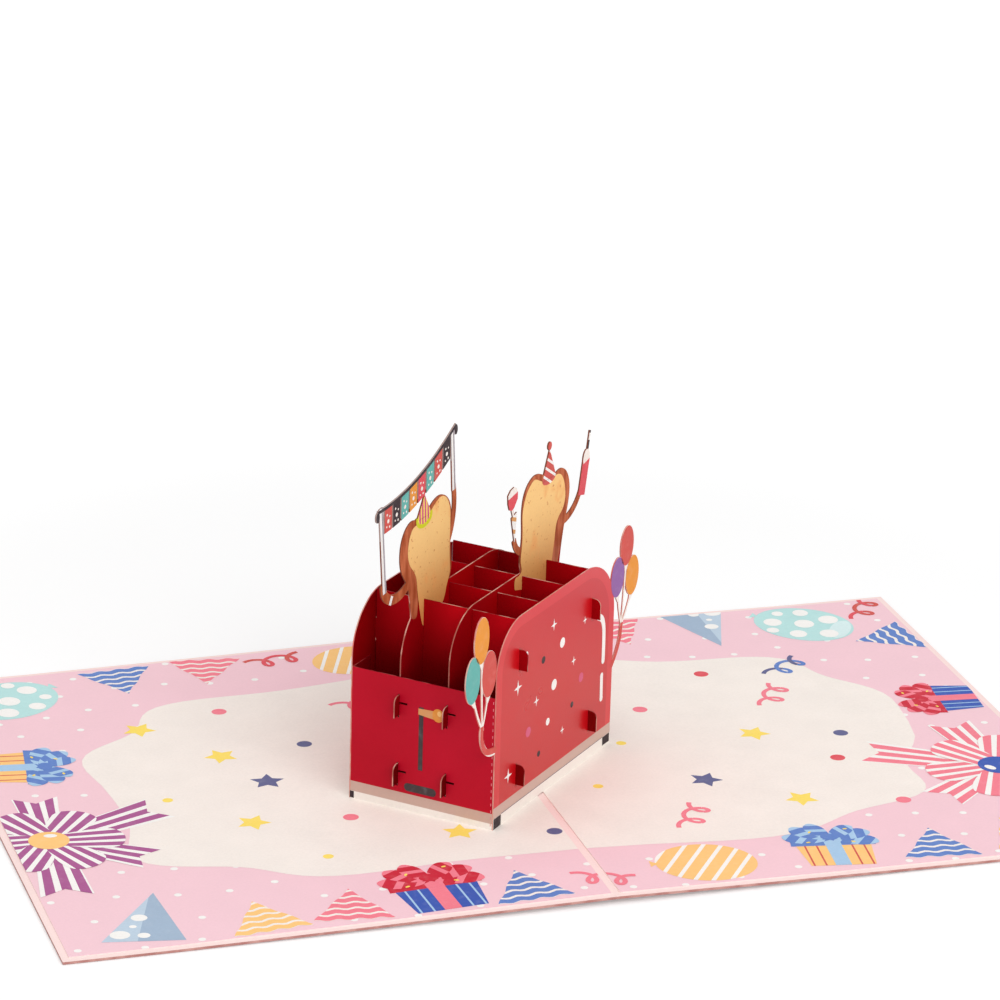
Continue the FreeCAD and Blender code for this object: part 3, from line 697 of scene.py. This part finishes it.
def party_hat(halves, place, turn):
    """Print a dotted paper cone with a shaded side."""
    cone = two_tone(cutout([(-12, -13), (10, -13), (3, 16)]), (-0.5, 0), (0.98, -0.16))
    put(halves, settle(cone, place, turn), ("mist", "dusk"), 2)
    for x, y, wide in ((-1.5, 1, 4.4), (-7.0, -9, 5.4), (-0.8, -9.6, 3.4), (-3.4, -4.2, 2.0)):
        put(halves, settle(disc((x, y), wide, wide * 0.9, 0, 18), place, turn), "white", 3)


SCATTER = ("yellow star", "rose dot", "rose streamer", "yellow dot", "navy star", "red dot", "blue streamer",
           "yellow dot", "yellow star", "navy dot", "rose streamer")
BORDER_PENNANTS = (
    ((-94, 83), 184, "blue"), ((-68, 84), 172, "rose"), ((-94, -83), 6, "orange"), ((-70, -82), -8, "rose"),
    ((-22, -83), 4, "blue"), ((96, -82), -6, "blue"), ((121, -80), 10, "orange"), ((36, 85), 176, "orange"),
    ((60, 84), 188, "rose"), ((139, 62), 96, "blue"),
)


def wavy_field():
    """Return the outline of the bare middle of the print: a rounded oblong with waves in its edge."""
    steps, half_long, half_wide, squareness = 120, 118, 66, 0.62
    outline = []
    for step in range(steps):
        angle = 2 * math.pi * step / steps
        c, s = math.cos(angle), math.sin(angle)
        wave = 1 + 0.035 * math.sin(9 * angle + 0.8) + 0.02 * math.sin(4 * angle)
        outline.append((half_long * wave * math.copysign(abs(c) ** squareness, c),
                        half_wide * wave * math.copysign(abs(s) ** squareness, s)))
    return outline


def scatter(halves):
    """Print stars, dots and streamers on the middle, in staggered rows."""
    number = 0
    for row in range(5):
        for column in range(7):
            ink, kind = SCATTER[number % len(SCATTER)].split()
            number += 1
            x = -101 + 34 * column - (17 if row % 2 else 0) + 5 * math.sin(2.3 * number)
            y = 49 - 24.5 * row + 4 * math.sin(4.1 * number)
            if abs(x) > 104:
                continue
            if kind == "star":
                put(halves, star((x, y), 5.0, 40 * math.sin(number)), ink, 2)
            elif kind == "dot":
                wide = 3.0 if ink == "yellow" else 4.4
                put(halves, disc((x, y), wide, wide * 0.95, 0, 24), ink, 2)
            else:
                streamer(halves, (x, y), 60 * math.sin(number), ink, "navy" if ink == "blue" else ink)


def print_liners():
    """Print both liners with party things round a bare middle."""
    halves = [Print("left_print", "printed_liner", on_liner(-1)),
              Print("right_print", "printed_liner", on_liner(1))]
    for row in range(14):
        for column in range(20):
            x = -145 + column * 15.2 + (7.6 if row % 2 else 0) + 2.4 * math.sin(3 * row + column)
            y = -90 + row * 13.8 + 2.4 * math.sin(5 * column + row)
            put(halves, disc((x, y), 2.1, 2.0, 0, 12), "white", 0)
    put(halves, cutout(wavy_field()), "cream", 1)
    scatter(halves)
    for place, turn, ink in BORDER_PENNANTS:
        pennant(halves, place, turn, ink)
    rosette(halves, (-138, -22), 20, "purple", "orange", 0.8)
    rosette(halves, (134, -36), 150, "rose", "royal", 0.84)
    rosette(halves, (12, 88), 200, "red", "royal", 0.5)
    balloon(halves, (-129, 76), 118, "teal", "aqua", 0.86)
    balloon(halves, (30, -80), 262, "orange", None, 0.78)
    balloon(halves, (118, 78), 232, "teal", "aqua", 0.86)
    balloon(halves, (-24, 80), 96, "orange", None, 0.7)
    present(halves, (-134, 28), 262, "orange", "coral", "blue", "sky", 1.1)
    present(halves, (-45, -77), 3, "royal", "sky", "deep_red", "rose", 1.2)
    present(halves, (68, -77), -8, "orange", "coral", "blue", "sky", 1.1)
    present(halves, (136, 14), 84, "royal", "sky", "deep_red", "rose", 1.0)
    party_hat(halves, (-124, -76), -10)
    party_hat(halves, (88, 83), 188)
    for place, turn, ink, back in (((-46, 86), 10, "red", "coral"), ((0, -84), -20, "rose", "rose"),
                                   ((141, 86), 60, "coral", "red"), ((-142, 56), 70, "deep_red", "rose")):
        streamer(halves, place, turn, ink, back)
    for half in halves:
        half.finish()


# What is printed on the box


def print_front_panel():
    """Print the front panel's outer face, and both faces of its balloons."""
    front, back = both_faces("front_panel", "coral_paper", PAPER / 2)
    for place, radius in (((33.4, 48.8), 1.9), ((52.7, 43.6), 1.3), ((12.6, 37.4), 2.4), ((8.2, 12.9), 2.3),
                          ((40.6, 14.7), 1.3), ((24.0, 29.4), 1.7), ((46.4, 33.6), 1.5)):
        put([front], star(place, radius, 0, 4, 0.26), "white")
    dots = (
        ((27.6, 40.4), 2.2, "charcoal"), ((39.0, 41.6), 3.0, "white"), ((19.6, 21.8), 3.0, "pink"),
        ((31.4, 20.6), 2.2, "white"), ((51.4, 26.8), 2.8, "pink"), ((34.6, 30.6), 3.2, "white"),
        ((46.2, 20.4), 1.8, "charcoal"), ((17.2, 45.6), 1.8, "white"), ((26.4, 12.8), 1.8, "charcoal"),
    )
    for place, wide, ink in dots:
        put([front], disc(place, wide, wide, 0, 28), ink)
    gloss = smooth_line([(61.2, 41.6), (63.6, 40.2), (64.9, 37.2), (65.2, 32.0), (65.2, 27.0)])
    put([front], strip(gloss, 2.0), "white")
    put([front], strip([(64.6, 22.6), (64.8, 15.6)], 1.8), "white")
    for spot in ((61.2, 41.6), (65.2, 27.0), (64.6, 22.6), (64.8, 15.6)):
        put([front], disc(spot, 1.9, 1.9, 0, 18), "white", 2)
    for start, low in ((0.25, -2.0), (LENGTH - 4.6, 0.3)):
        put([front], box_shape(start, low, start + 4.3, 2.9), "black")
    put([front], box_shape(4.8, 2.9, LENGTH - 4.8, 3.1), "smoke", 2)
    put([front], box_shape(4.8, -0.7, LENGTH - 4.8, -0.4), "smoke", 2)
    for places, height, inks, stem in ((LEFT_BALLOONS, 13.4, ("tangerine", "jade", "coral"), LEFT_STEM),
                                       (RIGHT_BALLOONS, 12.0, ("coral", "violet", "tangerine"), RIGHT_STEM)):
        for (x, z), ink in zip(places, inks):
            put([front, back], disc((x, z), BALLOON_WIDTH - 0.12, height - 0.12, 0, 40), ink)
        put([front, back], strip(smooth_line(stem), STEM_WIDTH - 0.1), "coral")
    front.finish()
    back.finish()


def print_left_wall():
    """Print the left wall's lever and its slot, the grip below, and the dashes at its fold."""
    wall = Print("left_wall_print", "red_paper", on_sheet(INWARD, Vector((0.0, 0.0, 0.0)), -1))
    put([wall], box_shape(22.2, 12.4, 23.6, 31.2), "charcoal")
    put([wall], cutout([(18.8, 28.4), (23.8, 28.9), (23.8, 30.7), (18.8, 30.9)]), "tan", 2)
    put([wall], disc((17.7, 29.8), 3.5, 3.9, 0, 28), "tangerine", 3)
    put([wall], disc((17.3, 30.4), 1.3, 1.6, 0, 18), "orange", 4)
    put([wall], box_shape(19.0, 5.4, 26.6, 7.8), "charcoal")
    for place in (19.0, 26.6):
        put([wall], disc((place, 6.6), 2.4, 2.4, 0, 24), "charcoal", 2)
    put([wall], box_shape(DEPTH - 1.5, -0.5, DEPTH - 0.2, 1.5), "black")
    place = 0.8
    while place < WALL_TOP - 1.0:
        put([wall], box_shape(0.7, place, 0.9, place + 0.8), "blush")
        place += 2.0
    wall.finish()


def cord_height(x):
    """Return the height of the bunting's cord, which sags between its ends."""
    (x0, z0), (x1, z1) = CORD_LEFT, CORD_RIGHT
    share = (x - x0) / (x1 - x0)
    return z0 + (z1 - z0) * share - 4 * CORD_SAG * share * (1 - share)


def from_end(points):
    """Measure places from the right end of the box."""
    return [(LENGTH + x, z) for x, z in points]


def print_back_slat():
    """Print the left slice, its hat, the bunting and its poles."""
    both = both_faces("back_slat", "slat_paper", DEPTH * 2 / 3)
    put(both, cutout(smooth_line(LEFT_FOOT, True)), "crust", 1)
    put(both, cutout(smooth_line(LEFT_CRUMB, True)), "crumb", 2)
    for (x0, z0), (x1, z1) in POLES:
        put(both, strip([(x0, z0), (x1, z1)], 1.95), "grey")
        put(both, strip([(x0 - 0.35, z0), (x1 - 0.35, z1)], 1.0), "white", 2)
        put(both, strip([(x0 + 0.45, z0), (x1 + 0.45, z1)], 0.28), "smoke", 2)
    stations = [CORD_LEFT[0] + (CORD_RIGHT[0] - CORD_LEFT[0]) * step / 24 for step in range(25)]
    put(both, strip([(x, cord_height(x)) for x in stations], CORD_WIDTH * 0.86), "black", 4)
    for x, z in (CORD_LEFT, CORD_RIGHT):
        put(both, disc((x, z - KNOT_DROP), 1.82, 2.92, 0, 24), "black", 5)
    dots = ((-0.7, 2.2, 0.7), (0.8, 3.0, 0.6), (0.0, 4.2, 1.2), (-0.8, 5.6, 0.6), (0.8, 6.0, 0.7))
    for number, ink in enumerate(("coral", "black", "jade", "tangerine", "red", "jade", "coral", "black")):
        left = FIRST_FLAG + number * FLAG_PITCH + 0.03
        right = left + FLAG_WIDTH - 0.06
        drop = FLAG_DROP - 0.04
        put(both, cutout([(left, cord_height(left) - drop), (right, cord_height(right) - drop),
                          (right, cord_height(right)), (left, cord_height(left))]), ink, 3)
        middle = (left + right) / 2
        for aside, down, wide in dots:
            x = middle + aside
            put(both, disc((x, cord_height(x) - down), wide, steps=12), "cream", 4)
    put(both, striped(cutout(LEFT_HAT), 4, 1.55, 0.4, 0.2), ("pink", "yellow"), 3)
    skirt = smooth_line([(7.8, 81.5), (9.0, 80.2), (12.0, 79.4), (15.0, 80.2), (16.2, 81.5)])
    put(both, striped(cutout(skirt), 4, 1.55, 0.4, 0.2), ("pink", "yellow"), 3)
    brim = smooth_line([(8.0, 82.2), (8.2, 80.6), (9.6, 79.5), (12.0, 79.0), (14.4, 79.5), (15.8, 80.6),
                        (16.0, 82.2)])
    put(both, strip(brim, 1.2), "lime", 4)
    put(both, strip([(-5.4, 64.2), (-6.6, 61.9)], 1.3), "white", 3)
    for sheet in both:
        sheet.finish()


def print_front_slat():
    """Print the right slice, its hat, the candle and the lollipop."""
    both = both_faces("front_slat", "slat_paper", DEPTH / 3)
    put(both, cutout(smooth_line(from_end(RIGHT_FOOT), True)), "crust", 1)
    put(both, cutout(smooth_line(from_end(RIGHT_CRUMB), True)), "crumb", 2)
    foot, top, tip = Vector(CANDLE_FOOT), Vector(CANDLE_TOP), Vector(WICK_TOP)
    put(both, strip([foot, top], CANDLE_WIDTH - 0.1), "red", 1)
    cap = disc(top, CANDLE_WIDTH - 0.1, CANDLE_WIDTH * 1.4 - 0.1, steps=40)
    put(both, two_tone(cap, (top.x, top.y - 0.7), (-0.2, 1.0)), ("red", "cream"), 2)
    lower, upper = top.lerp(tip, 0.36), top.lerp(tip, 0.66)
    put(both, strip([lower, upper], WICK_WIDTH - 0.04), "charcoal", 3)
    put(both, strip([upper, tip], WICK_WIDTH - 0.04), "cream", 3)
    put(both, strip([top.lerp(tip, 0.91), tip], WICK_WIDTH - 0.04), "charcoal", 4)
    lolly = two_tone(cutout(from_end(LOLLIPOP)), (LENGTH - 36.0, 83.1), (-0.16, 1.0))
    put(both, lolly, ("red", "cream"), 2)
    put(both, strip(from_end([(-35.2, 76.9), (-36.3, 79.3)]), WICK_WIDTH - 0.05), "cream", 1)
    put(both, striped(cutout(from_end(CONE)), 70, 3.4, 0.34, 1.6), ("white", "tan"), 2)
    put(both, striped(cutout(RIGHT_HAT), 58, 2.5, 0.3, 0.9), ("coral", "white"), 3)
    skirt = smooth_line([(52.8, 81.5), (54.0, 80.4), (57.0, 79.8), (60.0, 80.4), (61.2, 81.5)])
    put(both, striped(cutout(skirt), 58, 2.5, 0.3, 0.9), ("coral", "white"), 3)
    put(both, disc(POMPOM, 2.2, 2.45, 0, 24), "coral", 4)
    for sheet in both:
        sheet.finish()


# The stage

# Lamps: name, place and size in metres, and power in watts.
LAMPS = (("key", (0.25, -1.6, 1.3), 1.4, 19.5), ("top", (-0.5, -0.1, 2.0), 1.6, 10.0))

# The camera: its turn from the card's depth, its pitch down and its roll in degrees, and its place.
CAMERA_ANGLES = (17.829, 20.349, 1.644)
CAMERA_PLACE, CAMERA_LENS, CAMERA_SENSOR = Vector((-376.70, -1153.90, 529.83)), 168.07, 36.0


def seen(tree):
    """Return 1 for what the camera sees, straight or in a gloss, and 0 for what lights the scene."""
    path = tree.nodes.new("ShaderNodeLightPath")
    straight, glossy, clear = (Field(tree, path.outputs[name])
                               for name in ("Is Camera Ray", "Is Glossy Ray", "Is Transmission Ray"))
    return straight.larger(glossy).larger(clear)


def make_stage():
    ground = bmesh.new()
    bmesh.ops.create_grid(ground, x_segments=1, y_segments=1, size=6.0)
    bmesh.ops.translate(ground, vec=(0.0, 0.0, -0.0002), verts=ground.verts)
    floor_mesh = bpy.data.meshes.new("floor")
    ground.to_mesh(floor_mesh)
    ground.free()
    floor = bpy.data.objects.new("floor", floor_mesh)
    bpy.context.scene.collection.objects.link(floor)
    material = bpy.data.materials.new("floor_white")
    material.use_nodes = True
    shader = material.node_tree.nodes["Principled BSDF"]
    shader.inputs["Base Color"].default_value = (0.95, 0.95, 0.95, 1.0)
    shader.inputs["Roughness"].default_value = 0.9
    shader.inputs["Specular IOR Level"].default_value = 0.0
    shader.inputs["Emission Color"].default_value = (1.0, 1.0, 1.0, 1.0)
    tree = material.node_tree
    place = tree.nodes.new("ShaderNodeTexCoord")
    span = tree.nodes.new("ShaderNodeVectorMath")
    span.operation = "LENGTH"
    tree.links.new(place.outputs["Object"], span.inputs[0])
    glow = seen(tree) * (Field(tree, span.outputs["Value"]).step(0.2, 0.75) + 0.1).smaller(1.0)
    tree.links.new(glow.socket, shader.inputs["Emission Strength"])
    floor_mesh.materials.append(material)

    world = bpy.data.worlds.new("studio")
    bpy.context.scene.world = world
    world.use_nodes = True
    background = world.node_tree.nodes["Background"]
    background.inputs["Color"].default_value = (1.0, 1.0, 1.0, 1.0)
    strength = seen(world.node_tree) * 0.46 + 0.54
    world.node_tree.links.new(strength.socket, background.inputs["Strength"])

    for name, place, size, power in LAMPS:
        light = bpy.data.lights.new(name, "AREA")
        light.size = size
        light.energy = power
        lamp = bpy.data.objects.new(name, light)
        lamp.location = place
        lamp.rotation_euler = (-Vector(place)).to_track_quat("-Z", "Y").to_euler()
        bpy.context.scene.collection.objects.link(lamp)


def make_camera():
    """Stand where the photograph was taken from: in front, a little left and above."""
    azimuth, pitch, roll = (math.radians(angle) for angle in CAMERA_ANGLES)
    data = bpy.data.cameras.new("camera")
    data.sensor_width = CAMERA_SENSOR
    data.lens = CAMERA_LENS
    camera = bpy.data.objects.new("camera", data)
    level = Vector((math.cos(azimuth), -math.sin(azimuth), 0.0))
    ahead = Vector((math.sin(azimuth), math.cos(azimuth), 0.0))
    forward = ahead * math.cos(pitch) - UP * math.sin(pitch)
    upright = level.cross(forward)
    right = math.cos(roll) * level + math.sin(roll) * upright
    above = -math.sin(roll) * level + math.cos(roll) * upright
    view = Matrix((right, above, -forward)).transposed().to_4x4()
    view.translation = CAMERA_PLACE * MM
    camera.matrix_world = view
    bpy.context.scene.collection.objects.link(camera)
    bpy.context.scene.camera = camera


PAPERS = {
    "cover": paper_material("cover_board", cover_paint, 0.7, 0.15, 0.06),
    "liner": paper_material("liner_paper", liner_paint, 0.6, 0.2, 0.06),
    "panel": paper_material("panel_paper", panel_paint, 0.3, 0.5, 0.06),
    "wall": paper_material("wall_paper", wall_paint, 0.45, 0.12, 0.08),
    "cross": paper_material("cross_slat_paper", cross_slat_paint, 0.6, 0.06, 0.08),
    "slat": paper_material("long_slat_paper", long_slat_paint, 0.6, 0.08, 0.08),
}
MATERIALS = {name: make_ink(name) for name in INKS}
MATERIALS["crust"] = paper_material("ink_crust", crust_paint)
MATERIALS["crumb"] = paper_material("ink_crumb", crumb_paint)


def dress_nodes():
    """Give each sheet of the card its printed paper."""
    for name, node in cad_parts.items():
        paper = [PAPERS[kind] for kind in PAPERS if kind in name][0]
        node.data.materials.clear()
        node.data.materials.append(paper)


dress_nodes()
print_liners()
print_front_panel()
print_left_wall()
print_back_slat()
print_front_slat()
make_stage()
make_camera()
bpy.context.scene.view_settings.view_transform = "Standard"
